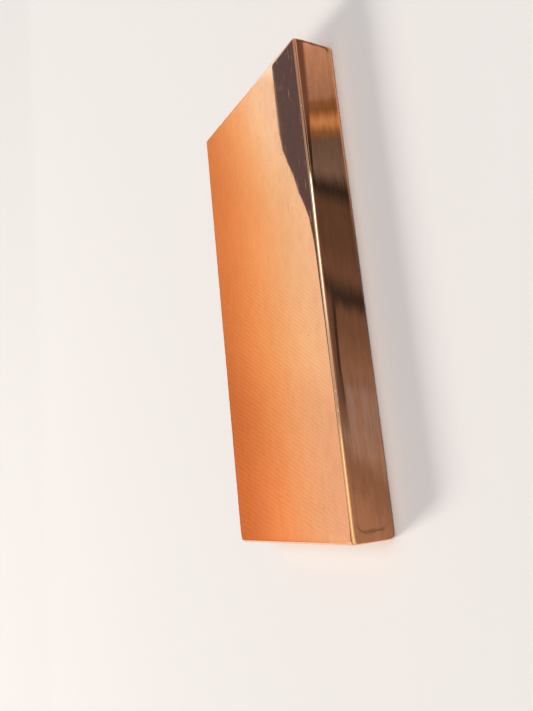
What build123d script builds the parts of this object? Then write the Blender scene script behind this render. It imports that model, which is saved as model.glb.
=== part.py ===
from build123d import *
import os

# Copper ingot: one solid bar of copper, cut to length from flat stock and mirror-polished all over.
# Sizes are in millimetres. The bar lies flat on its underside: X runs along it, Y across it and
# Z up, with the origin at the centre of the underside.

LENGTH = 140.0
WIDTH = 61.0
THICKNESS = 13.2

# The buffing wheel drops off each face before it reaches the face's rim, so a face stays flat in
# its middle and rolls away round its border in a long shallow curve. The wheel runs lengthwise and
# tips over the ends, where the border is wider than beside the long edges.
ROLL_RADIUS = 30.0
END_ROLL = 3.0
SIDE_ROLL = 1.2
ROLL_CORNER = 2.0

# Where two rolled-off faces meet, the edge itself is rounded small, and so are the corners.
EDGE_RADIUS = 0.8

# Neighbouring faces that turn by more than this many degrees meet in a real edge.
SMOOTH_TURN = 45.0


def buffed_face(length, width, end_roll, side_roll):
    """A deep block under one buffed face, whose middle is flat at z=0 and whose border rolls off."""
    depth = ROLL_RADIUS + LENGTH + WIDTH + THICKNESS
    block = Box(
        length + 2 * (ROLL_RADIUS - end_roll),
        width + 2 * (ROLL_RADIUS - side_roll),
        depth,
        align=(Align.CENTER, Align.CENTER, Align.MAX),
    )
    block = fillet(block.edges().filter_by(Axis.Z), ROLL_RADIUS + ROLL_CORNER)
    top_rim = block.faces().sort_by(Axis.Z)[-1].edges()
    return fillet(top_rim, ROLL_RADIUS)


def buffed_blank():
    """The sawn blank, with all six faces buffed and the edges between them still sharp."""
    blank = Box(LENGTH, WIDTH, THICKNESS, align=(Align.CENTER, Align.CENTER, Align.MIN))
    middle = THICKNESS / 2

    wide_face = buffed_face(LENGTH, WIDTH, END_ROLL, SIDE_ROLL)
    narrow_face = buffed_face(LENGTH, THICKNESS, END_ROLL, SIDE_ROLL)
    end_face = buffed_face(WIDTH, THICKNESS, SIDE_ROLL, SIDE_ROLL)

    blank &= Plane((0, 0, THICKNESS), x_dir=(1, 0, 0), z_dir=(0, 0, 1)) * wide_face
    blank &= Plane((0, 0, 0), x_dir=(1, 0, 0), z_dir=(0, 0, -1)) * wide_face
    for side in (-1, 1):
        blank &= Plane((0, side * WIDTH / 2, middle), x_dir=(1, 0, 0), z_dir=(0, side, 0)) * narrow_face
        blank &= Plane((side * LENGTH / 2, 0, middle), x_dir=(0, 1, 0), z_dir=(side, 0, 0)) * end_face
    return blank


def sharp_edges(solid):
    """The edges where the two faces beside them turn sharply."""
    found = []
    for edge in solid.edges():
        middle = edge @ 0.5
        beside = [face.normal_at(middle) for face in solid.faces() if edge in face.edges()]
        if beside[0].get_angle(beside[1]) > SMOOTH_TURN:
            found.append(edge)
    return found


blank = buffed_blank()
ingot = fillet(sharp_edges(blank), EDGE_RADIUS)
ingot.label = "ingot"

os.makedirs("parts", exist_ok=True)
export_step(ingot, "parts/ingot.step")
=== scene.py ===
import math

import bmesh
import bpy
from mathutils import Matrix, Vector, noise


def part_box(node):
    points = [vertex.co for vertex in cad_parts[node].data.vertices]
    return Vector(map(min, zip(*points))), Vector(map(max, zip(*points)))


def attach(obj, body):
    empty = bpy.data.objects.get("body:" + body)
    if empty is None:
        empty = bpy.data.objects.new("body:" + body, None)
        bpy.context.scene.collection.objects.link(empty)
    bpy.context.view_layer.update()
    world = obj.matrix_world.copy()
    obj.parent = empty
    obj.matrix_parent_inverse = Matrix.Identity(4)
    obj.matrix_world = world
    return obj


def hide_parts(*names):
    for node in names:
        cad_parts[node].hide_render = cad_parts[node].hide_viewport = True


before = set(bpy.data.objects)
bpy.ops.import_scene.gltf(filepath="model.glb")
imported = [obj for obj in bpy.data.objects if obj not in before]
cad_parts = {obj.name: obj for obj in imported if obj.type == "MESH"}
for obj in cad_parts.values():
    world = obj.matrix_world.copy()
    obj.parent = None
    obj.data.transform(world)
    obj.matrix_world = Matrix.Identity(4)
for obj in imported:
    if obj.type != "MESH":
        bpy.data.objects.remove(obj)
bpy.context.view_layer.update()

# The ingot: one solid bar of copper, cut from flat stock and buffed to a mirror on all six faces.
# The buffing wheel rolls each face off round its rim, widest over the left end, and rounds the edges
# small. It also leaves the faces very slightly wavy.
MM = 0.001
low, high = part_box("ingot")
middle = (low + high) / 2
half = (high - low) / 2

edge_radius = 0.8 * MM
edge_segments = 10
roll_radius = 30.0 * MM
left_end_roll, left_roll_corner = 3.0 * MM, 2.0 * MM
right_end_roll, right_roll_corner = 1.2 * MM, 0.9 * MM
wide_face_roll = 1.2 * MM
narrow_face_roll = 2.0 * MM

# The line where a face starts to drop wanders a little
rim_wander = 0.3 * MM
wander_length = 17.0 * MM

# Spacing of the cuts across a face and beside its rim, so that the roll-off and the waves have points
cell = (1.6 * MM, 1.6 * MM, 0.9 * MM)
rim_cell = 0.35 * MM
rim_width = (4.2 * MM, 3.2 * MM, 3.2 * MM)

# Waves of the buffing: how deep, and how long along the bar, across it and through it
waves = (
    (0.018 * MM, Vector((46.0, 26.0, 20.0)) * MM),
    (0.0012 * MM, Vector((9.0, 6.0, 6.0)) * MM),
)


def cuts_along(axis):
    """Places of the cuts across one axis: close together beside the rim, then wider."""
    places = []
    inset = edge_radius
    while inset < rim_width[axis]:
        places.append(half[axis] - inset)
        inset += rim_cell
    span = half[axis] - inset
    count = max(1, math.ceil(2 * span / cell[axis]))
    sides = [middle[axis] + side * place for place in places for side in (-1, 1)]
    return sides + [middle[axis] - span + 2 * span * i / count for i in range(count + 1)]


def past_rim(at, axis):
    """How far a point of the faces across an axis lies outside the rim of their flat middle."""
    on_right = at.x > 0.0
    end_roll = right_end_roll if on_right else left_end_roll
    roll_corner = right_roll_corner if on_right else left_roll_corner
    side_roll = wide_face_roll if axis == 2 else narrow_face_roll
    beyond = []
    for other in range(3):
        if other != axis:
            roll = end_roll if other == 0 else side_roll
            beyond.append(max(abs(at[other]) - (half[other] - roll - roll_corner), 0.0))
    wander = rim_wander * noise.noise(at / wander_length + Vector((axis, 5.0 * axis, 0.0)))
    return math.hypot(*beyond) - roll_corner + wander


def drop(at, axis):
    """How far the wheel has lowered a face across an axis at a point: roll-off and waves."""
    past = max(past_rim(at, axis), 0.0)
    lowered = roll_radius - math.sqrt(roll_radius**2 - past**2)
    for depth, length in waves:
        scaled = Vector([at[i] / length[i] for i in range(3)])
        scaled[axis] = math.copysign(7.3 + 2.1 * axis, at[axis])
        lowered += depth * (0.5 + 0.5 * noise.noise(scaled))
    return lowered


bar = bmesh.new()
bmesh.ops.create_cube(bar, size=1.0)
bmesh.ops.scale(bar, vec=high - low, verts=bar.verts)
bmesh.ops.translate(bar, vec=middle, verts=bar.verts)
bmesh.ops.bevel(bar, geom=bar.edges[:], offset=edge_radius, offset_type="OFFSET", affect="EDGES",
                segments=edge_segments, profile=0.5, material=-1)
for axis in range(3):
    for cut in cuts_along(axis):
        on_plane = middle.copy()
        on_plane[axis] = cut
        across = Vector((0.0, 0.0, 0.0))
        across[axis] = 1.0
        bmesh.ops.bisect_plane(bar, geom=bar.verts[:] + bar.edges[:] + bar.faces[:], dist=1e-7,
                               plane_co=on_plane, plane_no=across)

# Each point also keeps, for the material, how far it lies past the rim of its own face, and how far
# round the edge it lies, from 0 on a face to nearly 1 in the middle of the rounding
rim_layer = bar.verts.layers.float.new("past_rim")
edge_layer = bar.verts.layers.float.new("on_edge")
edge_spread = 1.3
for vert in bar.verts:
    at = vert.co - middle
    moved = at.copy()
    for axis in range(3):
        depth = abs(at[axis]) / half[axis]
        moved[axis] -= math.copysign(drop(at, axis), at[axis]) * depth
    own_face, next_face = sorted(range(3), key=lambda i: half[i] - abs(at[i]))[:2]
    from_next = (half[next_face] - abs(at[next_face])) / edge_radius
    vert[rim_layer] = past_rim(at, own_face)
    vert[edge_layer] = max(edge_spread * (1.0 - from_next), 0.0)
    vert.co = middle + moved
bmesh.ops.recalc_face_normals(bar, faces=bar.faces[:])
for face in bar.faces:
    face.smooth = True

ingot_mesh = bpy.data.meshes.new("ingot_polished")
bar.to_mesh(ingot_mesh)
bar.free()
ingot = bpy.data.objects.new("ingot_polished", ingot_mesh)
bpy.context.scene.collection.objects.link(ingot)


def node(tree, kind, inputs, **settings):
    """A new shader node with its settings made, and its inputs set or linked by name or number."""
    made = tree.nodes.new("ShaderNode" + kind)
    for name, value in settings.items():
        setattr(made, name, value)
    for name, value in inputs.items():
        if isinstance(value, bpy.types.NodeSocket):
            tree.links.new(value, made.inputs[name])
        else:
            made.inputs[name].default_value = value
    return made


def maths(tree, operation, first, second=0.0, third=0.0):
    """One step of arithmetic on numbers or sockets."""
    return node(tree, "Math", {0: first, 1: second, 2: third}, operation=operation).outputs[0]


def times(tree, first, second):
    """Two readings multiplied."""
    return maths(tree, "MULTIPLY", first, second)


def plus(tree, first, second):
    """Two readings added."""
    return maths(tree, "ADD", first, second)


def minus(tree, first, second):
    """One reading less another."""
    return maths(tree, "SUBTRACT", first, second)


def larger(tree, first, second):
    """The larger of two readings."""
    return maths(tree, "MAXIMUM", first, second)


def size_of(tree, reading):
    """A reading without its sign."""
    return maths(tree, "ABSOLUTE", reading)


def rise(tree, value, start, end, at_start=0.0, at_end=1.0):
    """A smooth change from one amount to another, between two readings of a value."""
    inputs = {"Value": value, "From Min": start, "From Max": end, "To Min": at_start, "To Max": at_end}
    return node(tree, "MapRange", inputs, interpolation_type="SMOOTHSTEP").outputs["Result"]


def grain(tree, place, scale, turn=(0.0, 0.0, 0.0), shift=(0.0, 0.0, 0.0), detail=0.0):
    """Noise that is drawn out by a different scale along each axis, in waves for each metre."""
    laid = node(tree, "Mapping", {"Vector": place, "Scale": scale, "Rotation": turn, "Location": shift})
    inputs = {"Vector": laid.outputs["Vector"], "Scale": 1.0, "Detail": detail, "Roughness": 0.6}
    return node(tree, "TexNoise", inputs).outputs["Fac"]


def object_place(tree):
    """Where a point lies on its piece, in metres."""
    return node(tree, "TexCoord", {}).outputs["Object"]


def kept_reading(tree, name):
    """What the points of the mesh keep under a name."""
    return node(tree, "Attribute", {}, attribute_name=name, attribute_type="GEOMETRY").outputs["Fac"]


def blended(tree, share, first, second):
    """A colour between two others."""
    mix = node(tree, "Mix", {0: share, 6: first, 7: second}, data_type="RGBA", clamp_factor=True)
    return mix.outputs[2]


# Polished copper: a clear mirror with hair-fine buffing lines along the bar, fine scratches and
# pits, faint clouds of haze, small nicks on the edges, and a broken dark line of painted reflection
# along the rims of the narrow faces, where they start to roll off
copper_red = (0.93, 0.47, 0.25, 1.0)
copper_brown = (0.84, 0.40, 0.21, 1.0)
copper_pale = (0.97, 0.56, 0.36, 1.0)
rubbed_pink = (0.94, 0.57, 0.39, 1.0)
# Dark brown of the pits, and of the painted reflection: a dark line along the rims of the narrow faces
pit_and_rim_reflection_brown = (0.22, 0.10, 0.06, 1.0)

# Roughness of the clear mirror, from its cleanest to its haziest, and what each kind of mark adds to it
clean_mirror, hazy_mirror = 0.014, 0.034
worn_haze, rubbed_haze, scratch_haze, mark_haze = 0.03, 0.08, 0.15, 0.22

# Heights in thousandths of a millimetre: the lines are very shallow, the pits and nicks deeper
line_height, scratch_depth, pit_depth, nick_depth = 0.08, 0.25, 12.0, 22.0

copper = bpy.data.materials.new("mirror_polished_copper")
copper.use_nodes = True
tree = copper.node_tree
tree.nodes.clear()
here = object_place(tree)
facing = node(tree, "SeparateXYZ", {"Vector": node(tree, "NewGeometry", {}).outputs["Normal"]})
over_end = rise(tree, size_of(tree, facing.outputs["X"]), 0.6, 0.8)
on_narrow = rise(tree, size_of(tree, facing.outputs["Z"]), 0.8, 0.5)
on_front = rise(tree, facing.outputs["Y"], -0.7, -0.95)
along_axes = node(tree, "SeparateXYZ", {"Vector": here})
along_bar = along_axes.outputs["X"]
up_bar = along_axes.outputs["Z"]
rim = kept_reading(tree, "past_rim")
on_edge = kept_reading(tree, "on_edge")

lines_along = grain(tree, here, (70.0, 2400.0, 2400.0), detail=3.0)
lines_over = grain(tree, here, (2400.0, 70.0, 2400.0), detail=3.0)
buffing_lines = node(tree, "Mix", {0: over_end, 2: lines_along, 3: lines_over}).outputs[0]
strokes = grain(tree, here, (38.0, 1100.0, 1100.0), shift=(0.3, 0.7, 0.1), detail=3.0)
worn = rise(tree, strokes, 0.54, 0.78)
clouds = grain(tree, here, (28.0, 60.0, 60.0), detail=4.0)
mottle = grain(tree, here, (260.0, 420.0, 420.0), shift=(5.0, 2.0, 8.0), detail=3.0)

first_set = grain(tree, here, (150.0, 2900.0, 2900.0), turn=(0.0, 0.05, 0.06), shift=(3.0, 1.0, 2.0))
second_set = grain(tree, here, (190.0, 3300.0, 3300.0), turn=(0.0, -0.11, -0.14), shift=(7.0, 4.0, 9.0))
scratches = larger(tree, rise(tree, first_set, 0.76, 0.84), rise(tree, second_set, 0.78, 0.86))

# A pit shows where one of the scattered points lies this close to the surface
pits_per_metre = 330.0
pit_reach = 0.18 * MM * pits_per_metre
scatter = node(tree, "TexVoronoi", {"Vector": here, "Scale": pits_per_metre})
pits = rise(tree, scatter.outputs["Distance"], pit_reach, 0.5 * pit_reach)

# Nicks sit on the edges only, closer together than pits, and where the edges were knocked most
nicks_per_metre = 900.0
nick_reach = 0.34
knocks = node(tree, "TexVoronoi", {"Vector": here, "Scale": nicks_per_metre})
nicks = times(tree, rise(tree, knocks.outputs["Distance"], nick_reach, 0.4 * nick_reach), on_edge)
knocked = grain(tree, here, (55.0, 55.0, 55.0), shift=(4.1, 8.2, 0.6), detail=1.0)
nicks = times(tree, nicks, rise(tree, knocked, 0.48, 0.62))

# A dark line of painted reflection follows the rim of the flat on the long narrow faces, in changing
# width. It comes and goes along the bar. It is whole towards the ends, further out at the right one,
# and at the left one it fades towards the lower edge.
thin_rim_reflection, wide_rim_reflection = 0.4 * MM, 0.95 * MM
rim_reflection_along, rim_reflection_at_left, rim_reflection_at_right = 0.3, 0.85, 1.6
patchy = grain(tree, here, (160.0, 260.0, 260.0), shift=(6.2, 3.1, 0.8), detail=2.0)
rim_reflection_width = rise(tree, patchy, 0.35, 0.65, thin_rim_reflection, wide_rim_reflection)
rim_reflection_offset = rise(tree, along_bar, high.x - 4.0 * MM, high.x - 1.4 * MM, 0.1 * MM, 0.3 * MM)
off_line = size_of(tree, minus(tree, rim, rim_reflection_offset))
rim_reflection_line = rise(tree, maths(tree, "DIVIDE", off_line, rim_reflection_width), 1.0, 0.1)
at_left_end = rise(tree, along_bar, low.x + 6.0 * MM, low.x + 3.0 * MM)
at_left_end = times(tree, at_left_end, rise(tree, up_bar, low.z + 2.4 * MM, low.z + 4.2 * MM))
at_right_end = rise(tree, along_bar, high.x - 3.0 * MM, high.x - 1.4 * MM)
at_ends = larger(tree, times(tree, at_left_end, rim_reflection_at_left), times(tree, at_right_end, rim_reflection_at_right))
broken = grain(tree, here, (30.0, 90.0, 90.0), shift=(1.7, 0.4, 2.9), detail=3.0)
painted_rim_reflection = larger(tree, times(tree, rise(tree, broken, 0.46, 0.62), rim_reflection_along), at_ends)
painted_rim_reflection = times(tree, times(tree, painted_rim_reflection, rim_reflection_line), on_narrow)
painted_rim_reflection = times(tree, painted_rim_reflection, minus(tree, 1.0, over_end))

# One patch on the front side, left of its middle, is rubbed paler in streaks
patch_middle, patch_reach, patch_fade = low.x + 32.0 * MM, 9.0 * MM, 14.0 * MM
from_patch = size_of(tree, minus(tree, along_bar, patch_middle))
patch = times(tree, rise(tree, from_patch, patch_fade, patch_reach), on_front)
rubs = grain(tree, here, (55.0, 1700.0, 1700.0), shift=(2.3, 0.2, 6.1), detail=3.0)
rubbed = times(tree, rise(tree, rubs, 0.42, 0.60), patch)

colour = blended(tree, rise(tree, mottle, 0.35, 0.7, 0.0, 0.5), copper_red, copper_brown)
colour = blended(tree, times(tree, worn, 0.4), colour, copper_pale)
colour = blended(tree, times(tree, rubbed, 0.7), colour, rubbed_pink)
colour = blended(tree, times(tree, pits, 0.5), colour, pit_and_rim_reflection_brown)
# Painted reflection: a dark line along the rims of the narrow faces, laid into the base colour
colour = blended(tree, times(tree, painted_rim_reflection, 0.6), colour, pit_and_rim_reflection_brown)

roughness = rise(tree, clouds, 0.42, 0.75, clean_mirror, hazy_mirror)
marks = larger(tree, larger(tree, pits, nicks), painted_rim_reflection)
for mark, haze in ((worn, worn_haze), (rubbed, rubbed_haze), (scratches, scratch_haze), (marks, mark_haze)):
    roughness = plus(tree, roughness, times(tree, mark, haze))

height = times(tree, buffing_lines, line_height)
for mark, depth in ((scratches, scratch_depth), (pits, pit_depth), (nicks, nick_depth)):
    height = minus(tree, height, times(tree, mark, depth))
relief = node(tree, "Bump", {"Height": height, "Strength": 1.0, "Distance": 0.001 * MM})

shader = node(tree, "BsdfPrincipled", {
    "Base Color": colour,
    "Metallic": 1.0,
    "Roughness": roughness,
    "Normal": relief.outputs["Normal"],
})
node(tree, "OutputMaterial", {"Surface": shader.outputs["BSDF"]})
ingot.data.materials.append(copper)

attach(ingot, "root")
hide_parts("ingot")

# The floor: a plain pale studio sweep, wide enough to fill the view from every side. Far from the bar
# the lamps fade, so the paper's own colour gives way to the room's, and no horizon shows.
paper_colour = (0.80, 0.76, 0.71, 1.0)
horizon_colour = (0.85, 0.81, 0.775, 1.0)
black = (0.0, 0.0, 0.0, 1.0)
floor_size = 4.0
floor_gap = 0.02 * MM
fade_from, fade_to = 0.4, 1.3

floor_mesh = bpy.data.meshes.new("floor")
sweep = bmesh.new()
bmesh.ops.create_grid(sweep, x_segments=1, y_segments=1, size=floor_size)
bmesh.ops.translate(sweep, vec=(0.0, 0.0, -floor_gap), verts=sweep.verts)
sweep.to_mesh(floor_mesh)
sweep.free()
floor = bpy.data.objects.new("floor", floor_mesh)
bpy.context.scene.collection.objects.link(floor)

paper = bpy.data.materials.new("pale_paper")
paper.use_nodes = True
tree = paper.node_tree
paper_shader = tree.nodes["Principled BSDF"]
paper_shader.inputs["Roughness"].default_value = 0.9
paper_shader.inputs["Specular IOR Level"].default_value = 0.1
paper_shader.inputs["Emission Color"].default_value = horizon_colour
from_bar = node(tree, "VectorMath", {0: object_place(tree)}, operation="LENGTH").outputs["Value"]
far_off = rise(tree, from_bar, fade_from, fade_to)
tree.links.new(blended(tree, far_off, paper_colour, black), paper_shader.inputs["Base Color"])
tree.links.new(far_off, paper_shader.inputs["Emission Strength"])
floor.data.materials.append(paper)


# The first light is a warm softbox behind the bar. It is a glowing card that shows in reflections only,
# as all cards here do, with its sizes in millimetres. The top face mirrors it up to its upper edge,
# which comes down towards the right in soft steps, and past that edge the dark of the room.
def shades(tree, reading, stops, blend="EASE"):
    """Colours that a reading runs through from stop to stop, each given as (reading, colour)."""
    first, last = stops[0][0], stops[-1][0]
    share = node(tree, "MapRange", {"Value": reading, "From Min": first, "From Max": last})
    ramp = node(tree, "ValToRGB", {"Fac": share.outputs["Result"]})
    ramp.color_ramp.interpolation = blend
    for i, (at, colour) in enumerate(stops):
        part = (at - first) / (last - first)
        stop = ramp.color_ramp.elements[i] if i < 2 else ramp.color_ramp.elements.new(part)
        stop.position = part
        stop.color = (*colour, 1.0)
    return ramp.outputs["Color"]


def amounts(tree, reading, stops, blend="EASE"):
    """The same with a plain amount at each stop instead of a colour."""
    return shades(tree, reading, [(at, (amount, amount, amount)) for at, amount in stops], blend)


def along(tree, direction):
    """How far a point lies along a direction, in millimetres."""
    scaled = tuple(part / MM for part in direction)
    dot = node(tree, "VectorMath", {0: object_place(tree), 1: scaled}, operation="DOT_PRODUCT")
    return dot.outputs["Value"]


def product(tree, first, second):
    """Two colours multiplied."""
    mix = node(tree, "Mix", {0: 1.0, 6: first, 7: second}, data_type="RGBA", blend_type="MULTIPLY")
    return mix.outputs[2]


def glowing(name, shape, paint):
    """A stage piece from a bmesh, which shows in reflections only. Its front glows as paint colours it."""
    mesh = bpy.data.meshes.new(name)
    shape.to_mesh(mesh)
    shape.free()
    card = bpy.data.objects.new(name, mesh)
    bpy.context.scene.collection.objects.link(card)
    material = bpy.data.materials.new(name)
    material.use_nodes = True
    tree = material.node_tree
    tree.nodes.clear()
    on_back = node(tree, "NewGeometry", {}).outputs["Backfacing"]
    glow = node(tree, "Emission", {"Color": paint(tree), "Strength": minus(tree, 1.0, on_back)})
    node(tree, "OutputMaterial", {"Surface": glow.outputs["Emission"]})
    card.data.materials.append(material)
    card.visible_camera = False
    card.visible_shadow = False
    card.visible_diffuse = False


def flat_card(corners):
    """A flat face through corners in millimetres, which faces the side that they turn round."""
    card = bmesh.new()
    card.faces.new([card.verts.new(Vector(corner) * MM) for corner in corners])
    return card


softbox_distance = 400.0
softbox_left, softbox_right, softbox_foot = -500.0, 720.0, 0.0
edge_parts = 80

# Height of the upper edge on the right, and its steps: the place, the width and the height of each
low_side = 289.0
steps = ((290.0, 20.0, 16.0), (248.0, 9.0, 9.0), (190.0, 45.0, 12.0), (75.0, 35.0, 46.0))


def upper_edge(x):
    """Height of the softbox's upper edge."""
    return low_side + sum(height * 0.5 * (1.0 - math.tanh((x - at) / width)) for at, width, height in steps)


def softbox_paint(tree):
    """From cream at the foot over orange to cream at the top, with a bright strip near either end."""
    here = object_place(tree)
    along_box = along(tree, (1.0, 0.0, 0.0))
    up = along(tree, (0.0, 0.0, 1.0))
    # The cream of the top reaches further down on the right
    paler = rise(tree, along_box, 230.0, 400.0, 0.0, 48.0)
    paler = times(tree, paler, rise(tree, up, 225.0, 285.0, 0.35, 1.0))
    upwards = shades(tree, plus(tree, up, paler), [
        (0, (0.95, 0.92, 0.88)),
        (70, (0.95, 0.90, 0.84)),
        (120, (0.86, 0.70, 0.55)),
        (160, (0.68, 0.37, 0.17)),
        (185, (0.68, 0.35, 0.16)),
        (205, (0.75, 0.39, 0.18)),
        (222, (0.88, 0.49, 0.25)),
        (240, (1.0, 0.66, 0.37)),
        (262, (1.0, 0.79, 0.53)),
        (288, (1.0, 0.96, 0.83)),
        (315, (1.03, 1.06, 1.0)),
    ], "B_SPLINE")
    # The rounded right end of the bar mirrors the bright strip on the right as a thin line
    sideways = shades(tree, along_box, [
        (-500, (0.22, 0.19, 0.2)),
        (-420, (1.2, 1.4, 1.7)),
        (-320, (1.3, 1.6, 2.0)),
        (-170, (0.97, 0.86, 0.84)),
        (-60, (0.95, 0.84, 0.82)),
        (20, (0.90, 0.83, 0.79)),
        (90, (0.97, 0.97, 0.92)),
        (200, (1.0, 1.02, 1.02)),
        (300, (0.97, 1.04, 1.08)),
        (385, (0.98, 1.06, 1.13)),
        (412, (1.15, 1.5, 1.8)),
        (448, (1.2, 1.65, 2.0)),
        (520, (0.5, 0.45, 0.45)),
        (720, (0.22, 0.19, 0.2)),
    ])
    # The weave of its diffuser shows as fine ribs that run aslant, and the diffuser hangs in soft folds
    rib_spacing, rib_sway, rib_slant = 4.0, 9.0, (0.81, 0.0, 0.58)
    brightness, fold_strength = 0.85, 0.30
    sway = times(tree, grain(tree, here, (60.0, 60.0, 60.0), detail=2.0), rib_sway)
    across_ribs = times(tree, along(tree, rib_slant), 2.0 * math.pi / rib_spacing)
    ribs = maths(tree, "SINE", plus(tree, across_ribs, sway))
    rib_strength = rise(tree, along_box, 220.0, 120.0, 0.012, 0.06)
    folds = grain(tree, here, (6.0, 1.0, 11.0), turn=(0.0, 0.6, 0.0), detail=2.0)
    shade = maths(tree, "MULTIPLY_ADD", ribs, rib_strength, brightness)
    shade = maths(tree, "MULTIPLY_ADD", folds, fold_strength, shade)
    return product(tree, product(tree, upwards, sideways), shade)


outline = [(softbox_left, softbox_distance, softbox_foot), (softbox_right, softbox_distance, softbox_foot)]
for i in range(edge_parts + 1):
    x = softbox_right + (softbox_left - softbox_right) * i / edge_parts
    outline.append((x, softbox_distance, upper_edge(x)))
glowing("softbox_behind", flat_card(outline), softbox_paint)


# The card in front: it lies low before the bar, where the narrow front side mirrors it. It is warm grey
# at both ends and dim in between, with two dark gaps and one amber strip, and all it shows runs aslant.
card_left, card_right = -140.0, 140.0
card_far, card_near = -1500.0, -30.0
card_height = 0.05

white = (1.0, 1.0, 1.0)
plain, cool = (1.0, 0.81, 0.74), (1.0, 1.0, 1.15)
pink, amber = (1.0, 0.90, 0.92), (1.0, 0.69, 0.42)
pale_strip = (0.62, 0.47, 0.36, 1.0)
lit_floor = (0.86, 0.81, 0.78, 1.0)


def tinted(brightness, tint):
    """A tint at that brightness."""
    return tuple(brightness * part for part in tint)


def card_bands(tree, along_card, out_from_bar):
    """The bands that cross the card. They run aslant, and how much they lean changes along it."""
    here = object_place(tree)
    # They lean about a line that runs along the bar, this far in front of its middle
    lean_about = -39.5
    lean = amounts(tree, along_card, [
        (-50, 0.55),
        (-31, 0.25),
        (-10, 0.45),
        (12, 0.5),
        (30, 0.54),
        (48, 0.42),
    ])
    leaning = times(tree, lean, minus(tree, out_from_bar, lean_about))
    # Their edges are ragged, with finer teeth on the right
    ragged = minus(tree, grain(tree, here, (45.0, 650.0, 1.0), detail=3.0), 0.5)
    tooth = rise(tree, along_card, 30.0, 45.0, 5.0, 2.5)
    leaning = maths(tree, "MULTIPLY_ADD", ragged, tooth, leaning)
    across_bands = maths(tree, "MULTIPLY_ADD", along_card, 0.81, leaning)
    bands = shades(tree, across_bands, [
        # Warm grey at the left end, pinker in the middle of it
        (-57, tinted(0.39, plain)),
        (-43, tinted(0.27, plain)),
        (-38, tinted(0.34, pink)),
        (-26, tinted(0.31, pink)),
        (-22, tinted(0.25, plain)),
        (-8, tinted(0.17, plain)),
        # The first dark gap
        (-3, tinted(0.045, cool)),
        # Dim between the two gaps
        (3, tinted(0.15, plain)),
        (10, tinted(0.122, plain)),
        (19, tinted(0.118, plain)),
        # The second dark gap, and a cooler grey beside it
        (23.5, tinted(0.04, cool)),
        (29, tinted(0.18, cool)),
        (36.5, tinted(0.15, cool)),
        # The amber strip
        (38, tinted(0.24, amber)),
        (41, tinted(0.58, amber)),
        (44.5, tinted(0.23, amber)),
        (46, tinted(0.25, amber)),
        # Warm grey again at the right end
        (48, tinted(0.38, plain)),
        (53, tinted(0.44, plain)),
        (60, tinted(0.52, plain)),
        (66, tinted(0.85, plain)),
    ])
    # They are dim far out from the bar, and a little uneven all over
    far_out = shades(tree, out_from_bar, [(-120, tinted(0.2, plain)), (-80, white)])
    uneven = grain(tree, here, (130.0, 520.0, 1.0), shift=(0.7, 2.2, 0.0), detail=5.0)
    uneven = maths(tree, "MULTIPLY_ADD", uneven, 0.5, 0.75)
    bands = product(tree, product(tree, bands, far_out), uneven)
    # Close in, on the right, it is pale: the lower rim of the side mirrors that as a thin line
    close_in = times(tree, rise(tree, out_from_bar, -31.5, -30.9), rise(tree, along_card, 0.0, 50.0))
    return blended(tree, close_in, bands, pale_strip)


def card_shadows(tree, along_card, out_from_bar):
    """The colour of two tapering shadows, and how far they cover the card. The upper rim mirrors them."""
    # How far out from the bar they start, and how deep in them a point lies
    shadow_from = amounts(tree, along_card, [
        (-48, 44.3),
        (-31, 44.4),
        (-22, 44.9),
        (-1, 43.7),
        (34, 49.0),
        (60, 44.6),
        (105, 43.0),
    ], "LINEAR")
    deep = minus(tree, times(tree, out_from_bar, -1.0), shadow_from)
    # A narrow one lies left of the middle, with a blacker inner border, and a broad one at the right end
    left_shadow = shades(tree, deep, [
        (0, (0.06, 0.055, 0.06)),
        (1.0, (0.05, 0.045, 0.05)),
        (2.2, (0.15, 0.12, 0.12)),
    ])
    right_shadow = shades(tree, along_card, [(45, (0.04, 0.035, 0.035)), (64, (0.17, 0.125, 0.12))])
    shadow = blended(tree, rise(tree, along_card, 10.0, 20.0), left_shadow, right_shadow)
    # Their border is softer towards both ends
    softer_right = rise(tree, along_card, 30.0, 60.0, 1.0, 0.35)
    softer_left = rise(tree, along_card, -24.0, -33.0, 1.0, 0.3)
    sharp = maths(tree, "MINIMUM", softer_right, softer_left)
    shaded = rise(tree, times(tree, deep, sharp), -0.3, 0.4)
    shaded = times(tree, shaded, rise(tree, out_from_bar, -75.0, -55.0))
    there = amounts(tree, along_card, [
        (-52, 0.0),
        (-43, 0.2),
        (-36, 0.7),
        (-31, 1.0),
        (-6, 1.0),
        (6, 0.0),
        (30, 0.0),
        (44, 1.0),
        (90, 1.0),
        (108, 0.0),
    ])
    return shadow, times(tree, shaded, there)


def front_card_paint(tree):
    """The bands with the shadows over them, and the look of the lit floor at the card's ends."""
    along_card = along(tree, (1.0, 0.0, 0.0))
    out_from_bar = along(tree, (0.0, 1.0, 0.0))
    shadow, shaded = card_shadows(tree, along_card, out_from_bar)
    shown = blended(tree, shaded, card_bands(tree, along_card, out_from_bar), shadow)
    # The end faces of the bar mirror the card's ends, so there it can't be told from the floor
    past_right = rise(tree, along_card, 92.0, 112.0)
    past_left = rise(tree, along_card, -84.0, -106.0)
    return blended(tree, larger(tree, past_left, past_right), shown, lit_floor)


glowing("card_in_front", flat_card([
    (card_left, card_far, card_height),
    (card_right, card_far, card_height),
    (card_right, card_near, card_height),
    (card_left, card_near, card_height),
]), front_card_paint)

# The arch of light: it stands over the bar from side to side. The rounded near edge draws it together
# into one line: white just right of the middle, dull pink past that, and orange to cream on the left.
arch_radius = 1000.0
arch_start, arch_end = math.radians(50), math.radians(178)
arch_left, arch_right = -6000.0, 6000.0
arch_steps = 24

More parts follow.
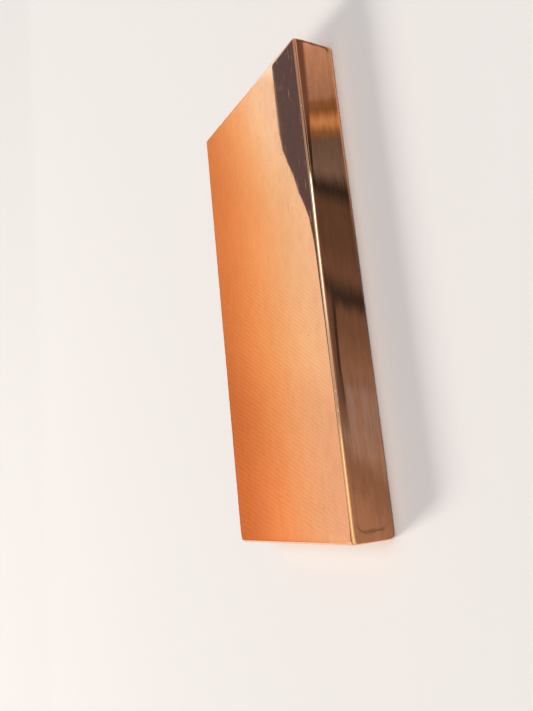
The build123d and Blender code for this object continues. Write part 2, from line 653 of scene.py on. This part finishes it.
# Spun from behind over the top to the front, its faces look inwards, at the bar
arch = bmesh.new()
first_y, first_z = arch_radius * math.cos(arch_start), arch_radius * math.sin(arch_start)
rib = [arch.verts.new(Vector((x, first_y, first_z)) * MM) for x in (arch_left, arch_right)]
rib_edge = arch.edges.new(rib)
bmesh.ops.spin(arch, geom=rib + [rib_edge], cent=(0.0, 0.0, 0.0), axis=(1.0, 0.0, 0.0),
               angle=arch_end - arch_start, steps=arch_steps)


def arch_paint(tree):
    """Three runs of colour, one behind the other: the back, the light overhead, and the front."""
    along_arch = along(tree, (1.0, 0.0, 0.0))
    back = shades(tree, along_arch, [
        (-400, (0.82, 0.74, 0.64)),
        (-60, (0.95, 0.84, 0.66)),
        (90, (0.62, 0.62, 0.60)),
        (190, (0.80, 0.84, 0.88)),
        (290, (0.76, 0.84, 0.92)),
        (400, (0.54, 0.60, 0.66)),
        (480, (0.40, 0.43, 0.50)),
        (800, (0.46, 0.42, 0.46)),
        (1500, (0.80, 0.73, 0.65)),
    ])
    light = shades(tree, along_arch, [
        (-60, (1.3, 1.65, 1.4)),
        (20, (1.3, 1.85, 1.7)),
        (42, (0.46, 0.58, 0.76)),
        (75, (0.36, 0.46, 0.64)),
        (190, (0.56, 0.86, 1.15)),
        (270, (1.1, 2.0, 2.8)),
        (340, (1.8, 2.7, 3.9)),
        (486, (2.2, 3.7, 5.4)),
        (503, (0.56, 0.68, 0.90)),
        (600, (0.50, 0.58, 0.76)),
        (800, (0.46, 0.46, 0.60)),
        (1500, (0.80, 0.73, 0.65)),
    ], "LINEAR")
    front = shades(tree, along_arch, [
        (-400, (0.75, 0.68, 0.60)),
        (-60, (0.70, 0.66, 0.52)),
        (70, (0.26, 0.21, 0.19)),
        (470, (0.18, 0.13, 0.10)),
        (500, (0.06, 0.05, 0.05)),
        (570, (0.07, 0.06, 0.06)),
        (640, (0.30, 0.26, 0.30)),
        (800, (0.36, 0.31, 0.36)),
        (1500, (0.75, 0.68, 0.60)),
    ], "LINEAR")
    # Degrees round the arch, from the back over the top to the front, and where its light starts and ends
    turn = maths(tree, "ARCTAN2", along(tree, (0.0, 0.0, 1.0)), along(tree, (0.0, 1.0, 0.0)))
    turn = times(tree, turn, math.degrees(1.0))
    starts = amounts(tree, along_arch, [
        (120, 106.0),
        (280, 95.0),
        (400, 102.0),
        (500, 118.0),
    ], "LINEAR")
    ends = amounts(tree, along_arch, [
        (-60, 141.0),
        (25, 144.0),
        (60, 149.0),
        (300, 149.0),
        (400, 161.0),
        (486, 172.0),
        (503, 138.0),
        (640, 128.0),
    ], "LINEAR")
    # Lower down in front its light is calmer, because seen from behind the top face mirrors that part.
    # On the right it stays bright further down.
    calm_colour = (0.88, 0.82, 0.74, 1.0)
    calming = minus(tree, turn, rise(tree, along_arch, 375.0, 440.0, 0.0, 17.0))
    light = blended(tree, rise(tree, calming, 126.0, 142.0), light, calm_colour)
    # The borders between the three runs are this soft, in degrees to each side
    start_blur, end_blur = 7.0, 8.0
    over = blended(tree, rise(tree, minus(tree, turn, starts), -start_blur, start_blur), back, light)
    return blended(tree, rise(tree, minus(tree, turn, ends), -end_blur, end_blur), over, front)


glowing("arch_overhead", arch, arch_paint)


# Lamps for the floor: a key from behind on the left, which throws the bar's shadow forwards, and a
# broad fill overhead. They light the floor and don't show in reflections.
def soft_lamp(name, place, size, colour, power):
    """A square lamp at a place in millimetres, aimed at the bar."""
    data = bpy.data.lights.new(name, "AREA")
    data.size = size * MM
    data.color = colour
    data.energy = power
    lamp = bpy.data.objects.new(name, data)
    bpy.context.scene.collection.objects.link(lamp)
    lamp.location = Vector(place) * MM
    lamp.rotation_mode = "QUATERNION"
    lamp.rotation_quaternion = (-lamp.location).to_track_quat("-Z", "Y")
    lamp.visible_camera = False
    lamp.visible_glossy = False


soft_lamp("key", place=(-1270, 2720, 1730), size=900, colour=(1.0, 0.97, 0.92), power=90.0)
soft_lamp("fill_overhead", place=(0, -500, 3000), size=2500, colour=(1.0, 0.99, 0.98), power=60.0)

# The room round the cards and lamps: as pale as the floor at its horizon, so that the two can't be told
# apart, and dusky blue-grey above, where the top face mirrors it past the softbox.
room_colour = (0.12, 0.13, 0.19, 1.0)
dusk_from, dusk_to = 0.22, 0.42
world = bpy.data.worlds.new("studio")
bpy.context.scene.world = world
world.use_nodes = True
room = world.node_tree
upward = node(room, "SeparateXYZ", {"Vector": node(room, "TexCoord", {}).outputs["Generated"]})
dusk = node(room, "ValToRGB", {"Fac": upward.outputs["Z"]})
dusk.color_ramp.elements[0].position = dusk_from
dusk.color_ramp.elements[0].color = horizon_colour
dusk.color_ramp.elements[1].position = dusk_to
dusk.color_ramp.elements[1].color = room_colour
room.links.new(dusk.outputs["Color"], room.nodes["Background"].inputs["Color"])

# The camera: where the photograph was taken from, turned with the bar, so that the bar's right end
# points up in the picture and its top face looks to the left.
camera_place = Vector((-54.66, -168.28, 112.38)) * MM
picture_right = Vector((-0.09776, -0.48314, -0.87007))
picture_up = Vector((0.97583, -0.21823, 0.01153))
camera_data = bpy.data.cameras.new("camera")
camera_data.lens = 34.06
camera_data.clip_start = 0.01
camera = bpy.data.objects.new("camera", camera_data)
bpy.context.scene.collection.objects.link(camera)
backwards = picture_right.cross(picture_up)
axes = Matrix((picture_right, picture_up, backwards)).transposed()
camera.matrix_world = Matrix.Translation(camera_place) @ axes.to_4x4()
bpy.context.scene.camera = camera

bpy.context.scene.view_settings.view_transform = "Standard"
